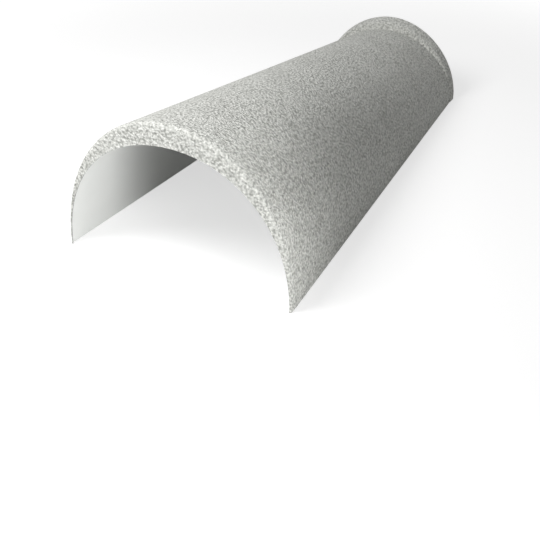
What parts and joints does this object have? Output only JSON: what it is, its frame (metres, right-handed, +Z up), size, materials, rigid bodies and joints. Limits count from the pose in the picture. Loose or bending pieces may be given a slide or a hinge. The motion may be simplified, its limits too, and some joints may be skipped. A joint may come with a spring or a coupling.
{
  "type": "hip and ridge cap",
  "caption": "Tapered half-barrel sheet metal cap with a turned-down nose at its wide end and a raised collar at its narrow end, which covers a roof's hip or ridge.",
  "frame": {"origin": "midway along the cap and between its feet, in the plane that its two long bottom edges rest on", "axes": "+Y along the ridge from the wide front end to the narrow back end, +Z up through the crown, +X across to the right seen from the front"},
  "size_m": [0.2026, 0.457, 0.1275],
  "materials": {
    "textured_coating": "light grey granular coat on steel sheet, matt"
  },
  "bodies": {
    "root": {"ridge_cap": "textured_coating"}
  },
  "joints": []
}
